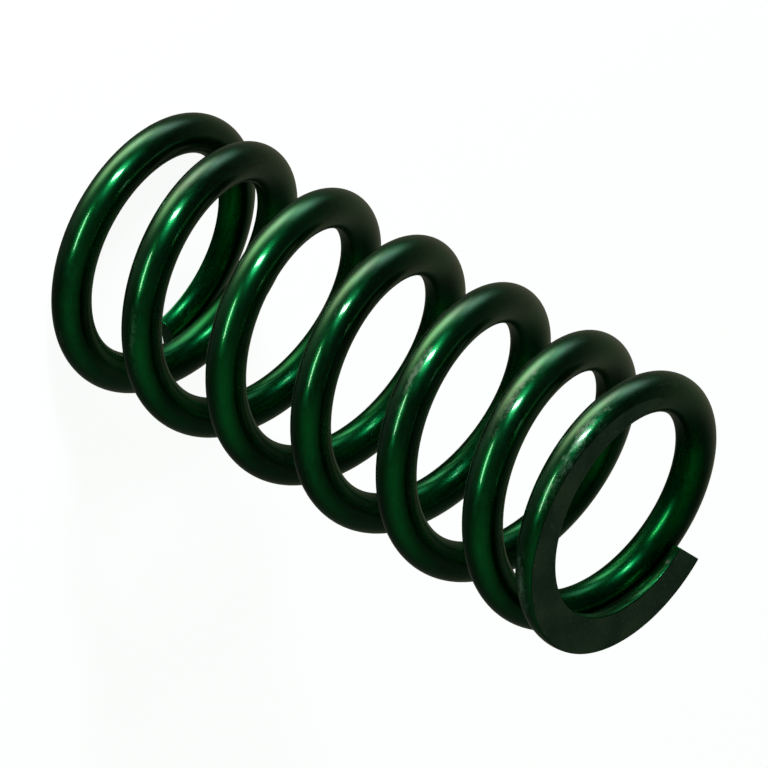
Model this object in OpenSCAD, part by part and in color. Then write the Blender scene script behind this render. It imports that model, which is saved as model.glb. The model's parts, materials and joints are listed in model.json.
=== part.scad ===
// Helical compression spring with closed and ground ends.
//
// The spring stands on its lower ground face. The axis of the coil is +Z and the origin is the
// centre of that face. It is wound from one round wire, right-handed, and the lower wire tip is
// on +X. Places along the wire are counted in turns from the lower tip.
//
// The wire is divided at flat planes through the axis. Each end coil is one rigid stretch, and
// the open coils between them are quarter turns, which slide down past one another on those
// planes as the spring is compressed.

/* [Wire] */
// Diameter of the wire
wire_d = 12.3; // [10:0.1:13]

/* [Coil] */
// Inside diameter of the coil
inside_d = 65; // [50:0.5:80]
// Height between the two ground faces when nothing presses on them
free_height = 200.5; // [180:0.5:240]
// Turns of wire from tip to tip
total_turns = 7.09; // [6.5:0.01:7.4]

/* [Closed and ground ends] */
// Thickness that grinding leaves at each wire tip
tip_thickness = 5.8; // [4:0.1:8]
// Turns from a tip over which the wire lies nearly flat
flat_turns = 0.49; // [0.3:0.01:0.6]
// Turns after those over which the pitch grows to that of the open coils
opening_turns = 0.83; // [0.6:0.01:1]
// Gap between each wire tip and the coil that closes onto it
tip_gap = 0.3; // [0.2:0.05:0.6]

/* [Stretches] */
// Turns of wire that each end coil takes at least
end_coil_turns = 1.25; // [1.25:0.25:1.75]

/* [Smoothness] */
// Sides of the wire's section
wire_sides = 20; // [12:2:24]
// Rings in a quarter turn of the wire
quarter_rings = 10; // [6:1:12]

/* [Hidden] */
wire_r = wire_d / 2;
coil_r = inside_d / 2 + wire_r; // axis of the coil to the middle of the wire
turn_length = 2 * PI * coil_r;
half_turns = total_turns / 2;

// Height of the wire's middle over the ground face at its tip
tip_height = tip_thickness - wire_r;

// How many turns' worth of the open pitch the wire has gained at so many turns from its tip.
// The pitch follows a smooth step, u^2 (3 - 2u), whose integral is u^3 - u^4 / 2.
function opened(turns) =
    let (u = min(1, max(0, (turns - flat_turns) / opening_turns)))
    opening_turns * (pow(u, 3) - pow(u, 4) / 2) + max(0, turns - flat_turns - opening_turns);
function open_share(turns) =
    let (u = min(1, max(0, (turns - flat_turns) / opening_turns)))
    u * u * (3 - 2 * u);

// One turn from the tip, the wire must clear the tip below it. Half way up, it must be at half
// the free height. These two conditions give the two pitches, in mm a turn.
one_turn_rise = wire_d + tip_gap;
half_rise = free_height / 2 - tip_height;
opened_in_one = opened(1);
opened_in_half = opened(half_turns);
pitch_gain = (half_rise - half_turns * one_turn_rise)
    / (opened_in_half - half_turns * opened_in_one);
closed_pitch = one_turn_rise - pitch_gain * opened_in_one;

// Height of the wire's middle, its rise per turn and its slope, at so many turns from the lower tip
function height_from_tip(turns) = tip_height + closed_pitch * turns + pitch_gain * opened(turns);
function wire_height(turns) = turns <= half_turns
    ? height_from_tip(turns)
    : free_height - height_from_tip(total_turns - turns);
function wire_pitch(turns) = closed_pitch + pitch_gain * open_share(min(turns, total_turns - turns));
function wire_slope(turns) = atan(wire_pitch(turns) / turn_length);

// The open coils hold as many whole quarter turns as fit between the end coils
quarters = floor(4 * (total_turns - 2 * end_coil_turns));
upper_coil_start = end_coil_turns + quarters / 4;

wire_colour = [0.03, 0.2, 0.1];

function quarter_name(i) = str("open_coil_", 1 + floor(i / 4), "_quarter_", 1 + i % 4);

// The wire's section at one place, in the upright plane through the axis. That plane cuts the
// sloping wire at an angle, so the section is taller than it is wide.
function section(turns) =
    let (
        around = 360 * turns,
        middle = wire_height(turns),
        half_height = wire_r / cos(wire_slope(turns))
    )
    [for (side = [0 : wire_sides - 1])
        let (
            a = 360 * side / wire_sides,
            out = coil_r + wire_r * cos(a)
        )
        [out * cos(around), out * sin(around), middle + half_height * sin(a)]];

// A solid stretch of the wire with a flat upright face at each end
module wire_stretch(from, to) {
    steps = ceil(4 * quarter_rings * (to - from) - 0.001);
    points = [for (i = [0 : steps]) each section(from + (to - from) * i / steps)];
    skin = [for (i = [0 : steps - 1], side = [0 : wire_sides - 1])
        let (
            here = i * wire_sides,
            next = (side + 1) % wire_sides,
            a = here + side,
            b = here + next,
            c = a + wire_sides,
            d = b + wire_sides
        )
        each [[a, b, c], [b, d, c]]];
    first_face = [for (side = [1 : wire_sides - 2]) [0, side + 1, side]];
    last = steps * wire_sides;
    last_face = [for (side = [1 : wire_sides - 2]) [last, last + side, last + side + 1]];
    polyhedron(points = points, faces = concat(skin, first_face, last_face), convexity = 6);
}

// A block wider than the coil, which stands for what the grinding wheel takes off
module ground_off(bottom) {
    side = 2 * (coil_r + wire_d);
    translate([-side / 2, -side / 2, bottom]) cube([side, side, 2 * wire_d]);
}

module lower_end_coil() {
    color(wire_colour)
        difference() {
            wire_stretch(0, end_coil_turns);
            ground_off(-2 * wire_d);
        }
}

module open_quarter(i) {
    start = end_coil_turns + i / 4;
    color(wire_colour) wire_stretch(start, start + 1 / 4);
}

module upper_end_coil() {
    color(wire_colour)
        difference() {
            wire_stretch(upper_coil_start, total_turns);
            ground_off(free_height);
        }
}

lower_end_coil();
for (i = [0 : quarters - 1])
    open_quarter(i);
upper_end_coil();
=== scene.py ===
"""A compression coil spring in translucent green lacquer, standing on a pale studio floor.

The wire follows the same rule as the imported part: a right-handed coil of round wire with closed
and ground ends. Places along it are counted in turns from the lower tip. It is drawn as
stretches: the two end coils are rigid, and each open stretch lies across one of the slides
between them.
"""
import json
import math

import bpy
from mathutils import Matrix, Vector

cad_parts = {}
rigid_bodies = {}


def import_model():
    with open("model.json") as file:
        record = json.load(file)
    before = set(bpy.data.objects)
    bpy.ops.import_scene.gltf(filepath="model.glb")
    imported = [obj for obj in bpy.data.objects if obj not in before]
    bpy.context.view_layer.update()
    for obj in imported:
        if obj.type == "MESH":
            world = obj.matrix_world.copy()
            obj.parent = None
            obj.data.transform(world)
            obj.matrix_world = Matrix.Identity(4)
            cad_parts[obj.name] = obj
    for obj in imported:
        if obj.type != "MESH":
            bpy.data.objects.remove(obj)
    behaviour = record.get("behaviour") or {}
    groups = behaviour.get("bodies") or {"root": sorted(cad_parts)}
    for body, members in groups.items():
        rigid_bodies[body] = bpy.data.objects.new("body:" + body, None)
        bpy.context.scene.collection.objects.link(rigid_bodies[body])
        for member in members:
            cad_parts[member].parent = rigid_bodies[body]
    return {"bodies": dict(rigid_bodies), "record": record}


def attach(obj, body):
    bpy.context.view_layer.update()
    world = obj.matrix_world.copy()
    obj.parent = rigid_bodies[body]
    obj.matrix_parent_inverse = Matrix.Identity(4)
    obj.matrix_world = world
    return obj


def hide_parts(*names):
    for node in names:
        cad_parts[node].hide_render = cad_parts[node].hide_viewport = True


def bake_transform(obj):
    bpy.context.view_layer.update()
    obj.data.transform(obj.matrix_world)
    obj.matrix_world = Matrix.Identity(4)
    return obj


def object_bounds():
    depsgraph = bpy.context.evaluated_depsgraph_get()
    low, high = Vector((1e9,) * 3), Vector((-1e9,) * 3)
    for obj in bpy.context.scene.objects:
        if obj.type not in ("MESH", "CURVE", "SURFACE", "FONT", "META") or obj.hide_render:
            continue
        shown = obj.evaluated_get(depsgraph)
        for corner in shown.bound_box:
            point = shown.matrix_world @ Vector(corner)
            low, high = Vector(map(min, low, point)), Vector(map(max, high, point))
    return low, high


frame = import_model()
cad_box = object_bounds()

# ---------------------------------------------------------------- sizes, in metres and turns

MM = 0.001
box_low, box_high = cad_box
guide = next(m for m in frame["record"]["mounts"] if m["name"] == "inside_guide")

outside_d = box_high.x - box_low.x
inside_d = 2 * guide["dims"]["r_mm"] * MM
free_height = box_high.z - box_low.z
wire_r = (outside_d - inside_d) / 4
coil_r = inside_d / 2 + wire_r

total_turns = 7.09
tip_thickness = 5.8 * MM
flat_turns = 0.49
opening_turns = 0.83
tip_gap = 0.3 * MM

end_coil_turns = 1.25
stretch_turns = 0.25
bodies = ["lower_end_coil"]
bodies += sorted(name for name in frame["bodies"] if name.startswith("open_coil"))
bodies += ["upper_end_coil"]
joint_turns = [end_coil_turns + stretch_turns * i for i in range(len(bodies) - 1)]

edge_radius = 0.25 * MM
rings_per_turn = 480
arc_sides = 64
chord_sides = 14
sharpest_smooth_edge = math.radians(70)
merge_distance = 0.001 * MM


def opened(turns):
    """Turns' worth of the open pitch that the wire has gained, so many turns from its tip."""
    u = min(1, max(0, (turns - flat_turns) / opening_turns))
    return opening_turns * (u ** 3 - u ** 4 / 2) + max(0, turns - flat_turns - opening_turns)


tip_height = tip_thickness - wire_r
one_turn_rise = 2 * wire_r + tip_gap
half_turns = total_turns / 2
half_rise = free_height / 2 - tip_height
pitch_gain = (half_rise - half_turns * one_turn_rise) / (opened(half_turns) - half_turns * opened(1))
closed_pitch = one_turn_rise - pitch_gain * opened(1)


def wire_height(turns):
    """Height of the wire's middle over the floor, so many turns from the lower tip."""
    near = min(turns, total_turns - turns)
    height = tip_height + closed_pitch * near + pitch_gain * opened(near)
    return height if turns <= half_turns else free_height - height


# ---------------------------------------------------------------- node trees


class Sock:
    """A socket of a node tree. Arithmetic on it adds the Math nodes that work it out."""

    def __init__(self, tree, socket):
        self.tree = tree
        self.socket = socket

    def node(self, kind, settings, inputs):
        return add_node(self.tree, kind, settings, inputs)

    def math(self, operation, *values):
        return self.node("ShaderNodeMath", {"operation": operation}, dict(enumerate((self, *values))))

    def __add__(self, other):
        return self.math("ADD", other)

    def __radd__(self, other):
        return self.math("ADD", other)

    def __sub__(self, other):
        return self.math("SUBTRACT", other)

    def __rsub__(self, other):
        return self.math("MULTIPLY", -1).math("ADD", other)

    def __mul__(self, other):
        return self.math("MULTIPLY", other)

    def __rmul__(self, other):
        return self.math("MULTIPLY", other)

    def __truediv__(self, other):
        return self.math("DIVIDE", other)

    def __rtruediv__(self, other):
        return self.math("POWER", -1).math("MULTIPLY", other)

    def __neg__(self):
        return self.math("MULTIPLY", -1)

    def __pow__(self, other):
        return self.math("POWER", other)

    def __gt__(self, other):
        return self.math("GREATER_THAN", other)

    def __lt__(self, other):
        return self.math("LESS_THAN", other)

    def at_least(self, other):
        return self.math("MAXIMUM", other)

    def at_most(self, other):
        return self.math("MINIMUM", other)

    def within(self, low, high):
        return self.at_least(low).at_most(high)

    def step(self, start, end):
        """Rises smoothly from 0 at start to 1 at end. The end may be the lower of the two."""
        inputs = {"Value": self, "From Min": start, "From Max": end}
        return self.node("ShaderNodeMapRange", {"interpolation_type": "SMOOTHSTEP"}, inputs)


def add_node(tree, kind, settings=None, inputs=None, output=0):
    """Adds a node: its settings first, then the values or links of its sockets, which are named, or
    numbered where names repeat. What comes back is the output asked for, ready for arithmetic."""
    node = tree.nodes.new(kind)
    for name, value in (settings or {}).items():
        setattr(node, name, value)
    for name, value in (inputs or {}).items():
        target = node.inputs[name]
        if isinstance(value, Sock):
            tree.links.new(value.socket, target)
        else:
            target.default_value = value
    return Sock(tree, node.outputs[output]) if node.outputs else None


# ---------------------------------------------------------------- the wire

TIP_ROWS = 4
WIDEST_EDGE = 0.3
NARROWEST_CHORD = 0.01
ROW_NUDGE = 0.001
WIRE_INPUTS = [
    ("From Turn", "NodeSocketFloat"),
    ("To Turn", "NodeSocketFloat"),
    ("Rings", "NodeSocketInt"),
    ("Arc Sides", "NodeSocketInt"),
    ("Chord Sides", "NodeSocketInt"),
    ("Upper Half", "NodeSocketFloat"),
    ("Lower Tip Radius", "NodeSocketFloat"),
    ("Upper Tip Radius", "NodeSocketFloat"),
    ("Edge Radius", "NodeSocketFloat"),
    ("Wire Radius", "NodeSocketFloat"),
    ("Coil Radius", "NodeSocketFloat"),
    ("Free Height", "NodeSocketFloat"),
    ("Total Turns", "NodeSocketFloat"),
    ("Tip Height", "NodeSocketFloat"),
    ("Closed Pitch", "NodeSocketFloat"),
    ("Pitch Gain", "NodeSocketFloat"),
    ("Flat Turns", "NodeSocketFloat"),
    ("Opening Turns", "NodeSocketFloat"),
    ("Lacquer", "NodeSocketMaterial"),
    ("Ground Finish", "NodeSocketMaterial"),
]


def wire_tree():
    """A tree that makes one closed stretch of the ground and coiled wire.

    Rows of a grid become sections of the wire. Each section is the arc of the round wire that
    grinding leaves and the flat chord that it cuts, with a small rounded edge between them.
    The first and last rows shrink to the section's middle and close the ends.
    """
    tree = bpy.data.node_groups.new("ground_coiled_wire", "GeometryNodeTree")
    for label, kind in WIRE_INPUTS:
        tree.interface.new_socket(label, in_out="INPUT", socket_type=kind)
    tree.interface.new_socket("Geometry", in_out="OUTPUT", socket_type="NodeSocketGeometry")
    entry = tree.nodes.new("NodeGroupInput")
    given = {label: Sock(tree, entry.outputs[label]) for label, _ in WIRE_INPUTS}

    sides = given["Arc Sides"] + given["Chord Sides"]
    rows = given["Rings"] + 2 * TIP_ROWS
    grid = add_node(tree, "GeometryNodeMeshGrid", inputs={"Vertices X": rows, "Vertices Y": sides + 1})
    index = add_node(tree, "GeometryNodeInputIndex")
    row = (index / (sides + 1) + ROW_NUDGE).math("FLOOR")
    column = (index - row * (sides + 1)).math("MODULO", sides)

    # The rows at an end: one at the section's middle, then those that round the tip's edge.
    from_end = row.at_most(rows - 1 - row)
    near_start = row < rows / 2
    lower_tip = given["Lower Tip Radius"]
    upper_tip = given["Upper Tip Radius"]
    tip_radius = upper_tip + near_start * (lower_tip - upper_tip)
    lean = (from_end - 1).within(0, TIP_ROWS - 1) * (math.pi / 2 / (TIP_ROWS - 1))
    inset = tip_radius * (1 - lean.math("SINE"))
    back_from_tip = tip_radius * (1 - lean.math("COSINE"))
    full_length = 2 * math.pi * given["Coil Radius"]
    first = given["From Turn"] + lower_tip / full_length
    last = given["To Turn"] - upper_tip / full_length
    ring = (row - TIP_ROWS).within(0, given["Rings"] - 1) / (given["Rings"] - 1)
    direction = near_start * 2 - 1
    in_rounding = from_end < TIP_ROWS
    past_ring = direction * (back_from_tip - tip_radius) / full_length
    turns = first + (last - first) * ring + in_rounding * past_ring

    # Height of the wire's middle over the nearer ground face, and its pitch there.
    near = turns.at_most(given["Total Turns"] - turns)
    u = ((near - given["Flat Turns"]) / given["Opening Turns"]).within(0, 1)
    gained = given["Opening Turns"] * (u * u * u - u * u * u * u * 0.5)
    gained = gained + (near - given["Flat Turns"] - given["Opening Turns"]).at_least(0)
    over_face = given["Tip Height"] + given["Closed Pitch"] * near + given["Pitch Gain"] * gained
    pitch = given["Closed Pitch"] + given["Pitch Gain"] * (u * u * (3 - 2 * u))
    in_upper_half = turns > given["Total Turns"] / 2
    middle = over_face + in_upper_half * (given["Free Height"] - 2 * over_face)
    rise = pitch / full_length
    half_height = given["Wire Radius"] * (1 + rise * rise).math("SQRT")

    # The section, with its ground face downwards. In the upper half it is turned by half a turn. An edge
    # takes up at most a small share of a narrow chord.
    cut = (-over_face / half_height).within(-1, 1)
    cut_angle = cut.math("ARCSINE")
    half_chord = cut_angle.math("COSINE")
    rounding = (given["Edge Radius"] / given["Wire Radius"]).at_most(half_chord * WIDEST_EDGE)
    arc_share = (column / given["Arc Sides"]).at_most(1)
    arc_angle = cut_angle + rounding + (math.pi - 2 * (cut_angle + rounding)) * arc_share
    along_chord = 2 * (column - given["Arc Sides"] - 1) / (given["Chord Sides"] - 2).at_least(1) - 1
    along_chord = (along_chord.within(-1, 1) * (math.pi / 2)).math("SINE")
    on_chord = column > given["Arc Sides"] + 0.5
    arc_out = arc_angle.math("COSINE")
    arc_up = arc_angle.math("SINE")
    chord_out = along_chord * (half_chord - rounding)
    out = arc_out + on_chord * (chord_out - arc_out)
    over = arc_up + on_chord * (cut - arc_up)
    turned = 1 - 2 * given["Upper Half"]
    section_out = out * turned * given["Wire Radius"]
    section_up = over * turned * half_height

    # The rows at an end draw in to the section's middle, halfway between its top and its ground face.
    centre_up = turned * half_height * (1 + cut) * 0.5
    size = (from_end > 0.5) * (1 - inset / given["Wire Radius"])
    radius = given["Coil Radius"] + section_out * size
    height = middle + centre_up + (section_up - centre_up) * size
    around = turns * (2 * math.pi)
    place = add_node(tree, "ShaderNodeCombineXYZ", inputs={
        "X": radius * around.math("COSINE"),
        "Y": radius * around.math("SINE"),
        "Z": height,
    })
    shaped = add_node(tree, "GeometryNodeSetPosition", inputs={"Geometry": grid, "Position": place})

    # Where each point is on the wire: metres along it, then out from and over its middle.
    wire_place = add_node(tree, "ShaderNodeCombineXYZ", inputs={
        "X": turns * full_length,
        "Y": section_out * size,
        "Z": section_up * size,
    })
    shaped = store(tree, shaped, "wire_place", "FLOAT_VECTOR", wire_place)
    shaped = store(tree, shaped, "turns", "FLOAT", turns)

    # The faces between the middle point and the first ring are the flat ends: the mean of their
    # points' rows is a half. The ground face lies between the points of the chord. Both are marked
    # before the mesh is closed.
    end_face = on_points(tree, from_end) < 0.75
    cut_face = end_face * (on_points(tree, tip_radius) > 0)
    ground_face = on_points(tree, on_chord * (half_chord > NARROWEST_CHORD)) > 0.6
    smooth = add_node(tree, "GeometryNodeSetShadeSmooth", inputs={
        "Geometry": shaped,
        "Shade Smooth": end_face < 0.5,
    })
    is_flat = (ground_face + cut_face) > 0.5
    marked = store(tree, smooth, "ground_flat", "BOOLEAN", is_flat, "FACE")
    closed = add_node(tree, "GeometryNodeMergeByDistance", inputs={
        "Geometry": marked,
        "Distance": merge_distance,
    })

    # Edges stay smooth, apart from the sharp ones round the ground face and the flat ends.
    edge_angle = add_node(tree, "GeometryNodeInputMeshEdgeAngle")
    sharp = add_node(tree, "GeometryNodeSetShadeSmooth", {"domain": "EDGE"}, {
        "Geometry": closed,
        "Selection": edge_angle > sharpest_smooth_edge,
        "Shade Smooth": False,
    })
    real = add_node(tree, "GeometryNodeRealizeInstances", inputs={"Geometry": sharp})
    coated = add_node(tree, "GeometryNodeSetMaterial", inputs={
        "Geometry": real,
        "Material": given["Lacquer"],
    })
    finished = add_node(tree, "GeometryNodeSetMaterial", inputs={
        "Geometry": coated,
        "Selection": stored(tree, "ground_flat", "BOOLEAN"),
        "Material": given["Ground Finish"],
    })
    add_node(tree, "NodeGroupOutput", inputs={"Geometry": finished})
    return tree


def on_points(tree, value):
    """The value as the points have it, for use on the faces between them."""
    settings = {"data_type": "FLOAT", "domain": "POINT"}
    return add_node(tree, "GeometryNodeFieldOnDomain", settings, {"Value": value})


def store(tree, geometry, name, kind, value, domain="POINT"):
    settings = {"data_type": kind, "domain": domain}
    return add_node(tree, "GeometryNodeStoreNamedAttribute", settings, {
        "Geometry": geometry,
        "Name": name,
        "Value": value,
    })


def stored(tree, name, kind):
    return add_node(tree, "GeometryNodeInputNamedAttribute", {"data_type": kind}, {"Name": name})


def make_stretch(name, tree, finishes, **changed):
    """Makes one stretch of wire as a plain mesh. The rest of its sizes are the spring's own."""
    sizes = {
        "Arc Sides": arc_sides,
        "Chord Sides": 0,
        "Upper Half": 0.0,
        "Lower Tip Radius": 0.0,
        "Upper Tip Radius": 0.0,
        "Edge Radius": edge_radius,
        "Wire Radius": wire_r,
        "Coil Radius": coil_r,
        "Free Height": free_height,
        "Total Turns": total_turns,
        "Tip Height": tip_height,
        "Closed Pitch": closed_pitch,
        "Pitch Gain": pitch_gain,
        "Flat Turns": flat_turns,
        "Opening Turns": opening_turns,
        "Lacquer": finishes["lacquer"],
        "Ground Finish": finishes["ground"],
    }
    sizes.update({label.replace("_", " ").title(): value for label, value in changed.items()})
    sizes["Rings"] = round(rings_per_turn * (sizes["To Turn"] - sizes["From Turn"])) + 1
    piece = bpy.data.objects.new(name, bpy.data.meshes.new(name))
    bpy.context.scene.collection.objects.link(piece)
    modifier = piece.modifiers.new("wire", "NODES")
    modifier.node_group = tree
    for item in tree.interface.items_tree:
        if item.in_out == "INPUT":
            modifier[item.identifier] = sizes[item.name]
    graph = bpy.context.evaluated_depsgraph_get()
    made = piece.evaluated_get(graph)
    mesh = bpy.data.meshes.new_from_object(made, preserve_all_data_layers=True, depsgraph=graph)
    piece.modifiers.clear()
    used = {face.material_index for face in mesh.polygons}
    for slot in reversed(range(len(mesh.materials))):
        if slot not in used:
            mesh.materials.pop(index=slot)
    piece.data = mesh
    mesh.name = name
    return piece


def make_wire(finishes):
    """The whole wire: a rigid stretch at each end, and one across each slide. Each of those
    stands for the quarter turn above its slide, and the last two for the same one."""
    tree = wire_tree()
    half_stretch = stretch_turns / 2
    lower = make_stretch(
        "lower_end", tree, finishes, from_turn=0.0, to_turn=joint_turns[0] - half_stretch,
        chord_sides=chord_sides, lower_tip_radius=edge_radius)
    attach(lower, bodies[0])
    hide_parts(bodies[0])
    upper = make_stretch(
        "upper_end", tree, finishes, from_turn=joint_turns[-1] + half_stretch, to_turn=total_turns,
        chord_sides=chord_sides, upper_half=1.0, upper_tip_radius=edge_radius)
    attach(upper, bodies[-1])
    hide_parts(bodies[-1])
    for i, turns in enumerate(joint_turns):
        stretch = make_stretch(
            f"open_stretch_{i + 1:02d}", tree, finishes,
            from_turn=turns - half_stretch, to_turn=turns + half_stretch,
            upper_half=1.0 if turns > half_turns else 0.0)
        angle = 2 * math.pi * turns
        middle = Vector((coil_r * math.cos(angle), coil_r * math.sin(angle), wire_height(turns)))
        reach = (coil_r - wire_r) * math.sin(2 * math.pi * half_stretch)
        along = Vector((-math.sin(angle), math.cos(angle), 0)) * reach
        middle - along
        middle + along
        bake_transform(stretch)
        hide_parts(bodies[min(i + 1, len(bodies) - 2)])


# ---------------------------------------------------------------- finishes


def new_finish(name):
    material = bpy.data.materials.new(name)
    material.use_nodes = True
    material.node_tree.nodes.clear()
    return material


def place_on_wire(tree):
    """Metres along the wire and across its section, the same at every pose."""
    return add_node(tree, "ShaderNodeAttribute", {"attribute_name": "wire_place"}, output="Vector")


def vector_math(tree, operation, inputs, output=0):
    return add_node(tree, "ShaderNodeVectorMath", {"operation": operation}, inputs, output)


def stretched(tree, place, along):
    """The place with its direction along the wire drawn in, for marks that run along the wire."""
    return vector_math(tree, "MULTIPLY", {0: place, 1: (along, 1.0, 1.0)})


def noise(tree, place, scale, detail, roughness=0.5):
    inputs = {"Vector": place, "Scale": scale, "Detail": detail, "Roughness": roughness}
    return add_node(tree, "ShaderNodeTexNoise", {"noise_dimensions": "3D"}, inputs)


def blend_colour(tree, share, low, high):
    """A colour between two others. A Mix node's colours are its sockets 6 and 7, and its output 2."""
    return add_node(tree, "ShaderNodeMix", {"data_type": "RGBA"}, {0: share, 6: low, 7: high}, 2)


def across_section(tree, place, axis):
    """Metres from the middle of the wire: Y is out from the spring's axis and Z is upwards."""
    return add_node(tree, "ShaderNodeSeparateXYZ", inputs={"Vector": place}, output=axis)


# Where the coat is rubbed. Each mark has its middle and half length in turns, its side of the section
# in degrees up from straight out, its half width in metres, and its strength.
RUBS = [
    (0.745, 0.02, 4, 2.0 * MM, 0.9),
    (0.785, 0.02, 40, 2.0 * MM, 0.7),
    (1.70, 0.075, 14, 2.2 * MM, 0.75),
    (3.55, 0.07, 6, 2.0 * MM, 0.35),
    (4.565, 0.09, 8, 2.6 * MM, 0.8),
    (5.53, 0.10, 4, 2.6 * MM, 0.85),
    (6.38, 0.12, 40, 5.0 * MM, 0.42),
    (6.535, 0.085, 14, 3.0 * MM, 0.9),
    (6.56, 0.16, 28, 5.0 * MM, 0.62),
    (6.73, 0.07, 352, 3.6 * MM, 1.4),
    (7.063, 0.008, 194, 1.5 * MM, 1.0),
    (7.076, 0.006, 88, 1.5 * MM, 1.0),
]


def rubbed(tree, place, marks):
    """How much the coat is rubbed by the strongest of the marks."""
    turns = add_node(tree, "ShaderNodeAttribute", {"attribute_name": "turns"}, output="Fac")
    out = across_section(tree, place, "Y")
    over = across_section(tree, place, "Z")
    most = 0.0
    for middle, half_length, side, half_width, strength in marks:
        from_side_out = out - wire_r * math.cos(math.radians(side))
        from_side_over = over - wire_r * math.sin(math.radians(side))
        beside = (from_side_out * from_side_out + from_side_over * from_side_over).math("SQRT")
        along = (turns - middle).math("ABSOLUTE")
        mark = beside.step(half_width, 0.0) * along.step(half_length, 0.0) * strength
        most = mark.at_least(most)
    return most


def lacquer_finish():
    """Translucent green lacquer over bright steel: a green metallic ground under a clear coat."""
    material = new_finish("green_lacquer")
    tree = material.node_tree
    place = place_on_wire(tree)

    # Thick and thin places in the green, and paler streaks along the wire.
    deep_green = (0.001, 0.06, 0.014, 1)
    bright_green = (0.002, 0.15, 0.035, 1)
    streak_green = (0.004, 0.17, 0.06, 1)
    clouds = noise(tree, place, scale=60, detail=3)
    streaks = noise(tree, stretched(tree, place, 0.35), scale=900, detail=4, roughness=0.6)
    colour = blend_colour(tree, clouds.step(0.3, 0.7), deep_green, bright_green)
    colour = blend_colour(tree, streaks.step(0.35, 0.8) * 0.6, colour, streak_green)

    # Dull steel shows through where the coat is rubbed. Scuffs break up the edges of each mark, and
    # without a mark they don't show.
    dull_steel = (0.30, 0.36, 0.30, 1)
    scuffs = noise(tree, stretched(tree, place, 0.6), scale=420, detail=9, roughness=0.8)
    rub = (rubbed(tree, place, RUBS) + scuffs.step(0.32, 0.68) - 0.95).within(0, 1)
    colour = blend_colour(tree, rub * 0.8, colour, dull_steel)

    # The clear coat is full on the outside of the coil and thin on the inside.
    inner_coat = 0.12
    outside = across_section(tree, place, "Y").step(-0.7 * wire_r, 0.1 * wire_r)
    coat = inner_coat + outside * (1 - inner_coat)

    flakes = noise(tree, place, scale=1500, detail=3, roughness=0.6)
    bump = add_node(tree, "ShaderNodeBump", inputs={
        "Strength": 0.35,
        "Distance": 0.06 * MM,
        "Height": streaks * 0.2 + flakes * 0.8,
    })
    shader = add_node(tree, "ShaderNodeBsdfPrincipled", inputs={
        "Base Color": colour,
        "Metallic": 1 - rub * 0.25,
        "Roughness": 0.22 + streaks * 0.12 + rub * 0.3,
        "Coat Weight": coat * (1 - rub * 0.8),
        "Coat Roughness": 0.1,
        "Coat IOR": 1.5,
        "Normal": bump,
    })
    add_node(tree, "ShaderNodeOutputMaterial", inputs={"Surface": shader})
    return material


def ground_finish():
    """The ground faces and cut tips: a duller, mottled green over a fine ground surface."""
    material = new_finish("ground_lacquer")
    tree = material.node_tree
    coords = add_node(tree, "ShaderNodeTexCoord", output="Object")

    dark_green = (0.012, 0.065, 0.040, 1)
    olive = (0.075, 0.135, 0.065, 1)
    dust = (0.20, 0.24, 0.18, 1)
    clouds = noise(tree, coords, scale=70, detail=4)
    specks = noise(tree, place_on_wire(tree), scale=700, detail=5, roughness=0.75)
    colour = blend_colour(tree, clouds.step(0.3, 0.7), dark_green, olive)
    colour = blend_colour(tree, specks.step(0.52, 0.70) * 0.6, colour, dust)

    grain = noise(tree, coords, scale=2200, detail=4, roughness=0.7)
    bump = add_node(tree, "ShaderNodeBump", inputs={
        "Strength": 0.45,
        "Distance": 0.08 * MM,
        "Height": grain,
    })
    shader = add_node(tree, "ShaderNodeBsdfPrincipled", inputs={
        "Base Color": colour,
        "Metallic": 0.3,
        "Roughness": 0.42 + grain * 0.15,
        "Coat Weight": 0.4,
        "Coat Roughness": 0.35,
        "Normal": bump,
    })
    add_node(tree, "ShaderNodeOutputMaterial", inputs={"Surface": shader})
    return material


# ---------------------------------------------------------------- floor, lights and camera

centre = (box_low + box_high) / 2
view_azimuth = math.radians(213.33)
view_elevation = math.radians(32.95)
view_roll = math.radians(119.35)
view_distance = 4.494
view_width = 0.2312
view_offset = (-0.00024, -0.00128)
sensor_width = 36.0
light_distance = 2.0

back = Vector((
    math.cos(view_elevation) * math.cos(view_azimuth),
    math.cos(view_elevation) * math.sin(view_azimuth),
    math.sin(view_elevation),
))
level = Vector((0, 0, 1)).cross(back).normalized()
right = level * math.cos(view_roll) + back.cross(level) * math.sin(view_roll)
up = back.cross(right)


def make_camera():
    data = bpy.data.cameras.new("camera")
    data.sensor_width = sensor_width
    data.lens = sensor_width * view_distance / view_width
    data.clip_start = 0.1
    data.clip_end = 20
    camera = bpy.data.objects.new("camera", data)
    bpy.context.scene.collection.objects.link(camera)
    camera.matrix_world = Matrix((right, up, back)).transposed().to_4x4()
    camera.location = centre + right * view_offset[0] + up * view_offset[1] + back * view_distance
    bpy.context.scene.camera = camera


def in_view(direction):
    """A direction given in the view's own axes: to the right, up and towards the camera."""
    return (right * direction[0] + up * direction[1] + back * direction[2]).normalized()


def make_light(name, direction, size, power, colour, turn):
    """A soft light that faces the spring, turned by some degrees from level in the view."""
    data = bpy.data.lights.new(name, "AREA")
    data.shape = "RECTANGLE"
    data.size, data.size_y = size
    data.energy = power
    data.color = colour
    light = bpy.data.objects.new(name, data)
    bpy.context.scene.collection.objects.link(light)
    aim = in_view(direction)
    side = (right - aim * right.dot(aim)).normalized()
    spin = math.radians(turn)
    wide = side * math.cos(spin) + aim.cross(side) * math.sin(spin)
    light.matrix_world = Matrix((wide, aim.cross(wide), aim)).transposed().to_4x4()
    light.location = centre + aim * light_distance
    light.visible_camera = False


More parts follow.
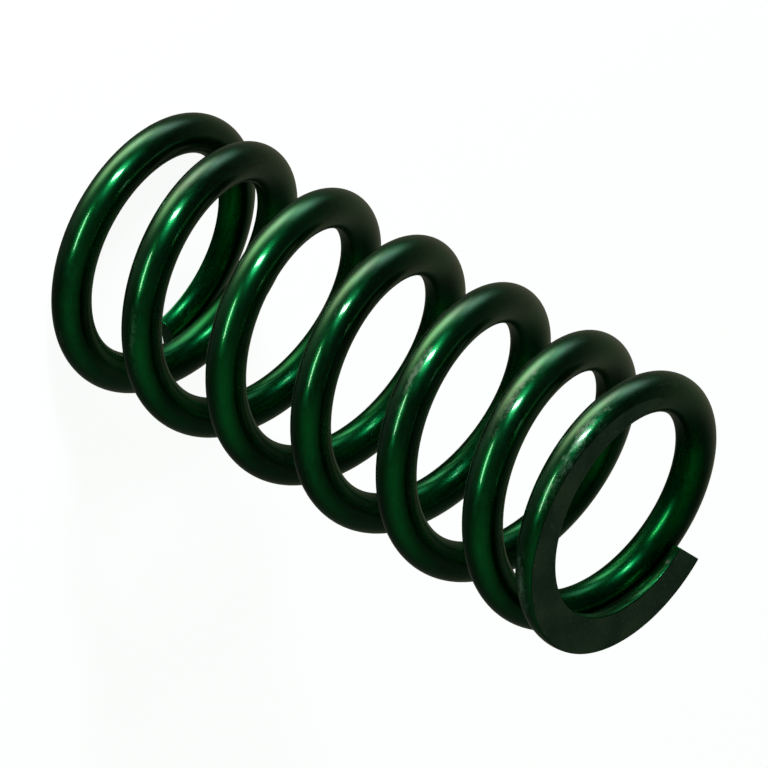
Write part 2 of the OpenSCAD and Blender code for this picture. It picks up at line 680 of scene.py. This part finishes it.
def make_floor():
    """A pale floor that the spring stands on. It glows a little, so that it stays even."""
    mesh = bpy.data.meshes.new("floor")
    reach = 6.0
    corners = [(-reach, -reach, 0), (reach, -reach, 0), (reach, reach, 0), (-reach, reach, 0)]
    mesh.from_pydata(corners, [], [(0, 1, 2, 3)])
    floor = bpy.data.objects.new("floor", mesh)
    bpy.context.scene.collection.objects.link(floor)
    material = new_finish("pale_floor")
    tree = material.node_tree
    shader = add_node(tree, "ShaderNodeBsdfPrincipled", inputs={
        "Base Color": (0.5, 0.5, 0.5, 1),
        "Roughness": 1.0,
        "Specular IOR Level": 0.0,
        "Emission Color": (1, 1, 1, 1),
        "Emission Strength": 0.93,
    })
    add_node(tree, "ShaderNodeOutputMaterial", inputs={"Surface": shader})
    mesh.materials.append(material)
    floor.visible_glossy = False
    floor.visible_diffuse = False
    floor.visible_shadow = False


# The soft light all round. Each has its direction in the view, how tightly it is gathered there, its
# strength and its colour. The first three are one far wall, warm on the left and cool on the right.
ROOM_GLOW = (0.02, 0.025, 0.02)
SOFT_LIGHTS = [
    ((-0.52, 0.85, -0.05), 26, 3.2, (1.0, 0.85, 0.62)),
    ((-0.14, 0.99, -0.06), 30, 4.2, (1.0, 0.82, 0.78)),
    ((0.34, 0.94, -0.08), 30, 1.8, (0.80, 0.85, 0.95)),
    ((-0.70, 0.70, 0.0), 4, 0.16, (0.90, 1.0, 0.85)),
    ((-0.20, -0.85, 0.48), 4, 0.20, (0.06, 1.0, 0.34)),
    ((0.50, 0.10, -0.86), 3, 0.10, (1.0, 0.95, 0.65)),
]


def make_studio():
    """Soft light all round, and two lights that show as a spot and a thin streak on each coil."""
    world = bpy.data.worlds.new("studio")
    world.use_nodes = True
    tree = world.node_tree
    tree.nodes.clear()
    towards = add_node(tree, "ShaderNodeTexCoord", output="Generated")
    light = ROOM_GLOW
    for direction, tightness, strength, colour in SOFT_LIGHTS:
        axis = in_view(direction)
        facing = vector_math(tree, "DOT_PRODUCT", {0: towards, 1: axis}, "Value")
        amount = facing.at_least(0) ** tightness * strength
        tinted = vector_math(tree, "SCALE", {0: colour, "Scale": amount})
        light = vector_math(tree, "ADD", {0: light, 1: tinted})
    background = add_node(tree, "ShaderNodeBackground", inputs={"Color": light, "Strength": 1.0})
    add_node(tree, "ShaderNodeOutputWorld", inputs={"Surface": background})
    bpy.context.scene.world = world
    bpy.context.scene.view_settings.view_transform = "Standard"
    make_light("window", (0.07, 0.63, 0.77), (0.64, 0.26), 17, (0.9, 1.0, 1.0), turn=-14)
    make_light("lamp", (-0.59, 0.08, 0.80), (1.0, 0.14), 8.5, (0.75, 1.0, 0.75), turn=68)


# ---------------------------------------------------------------- putting it together

make_camera()
make_wire({"lacquer": lacquer_finish(), "ground": ground_finish()})
make_floor()
make_studio()
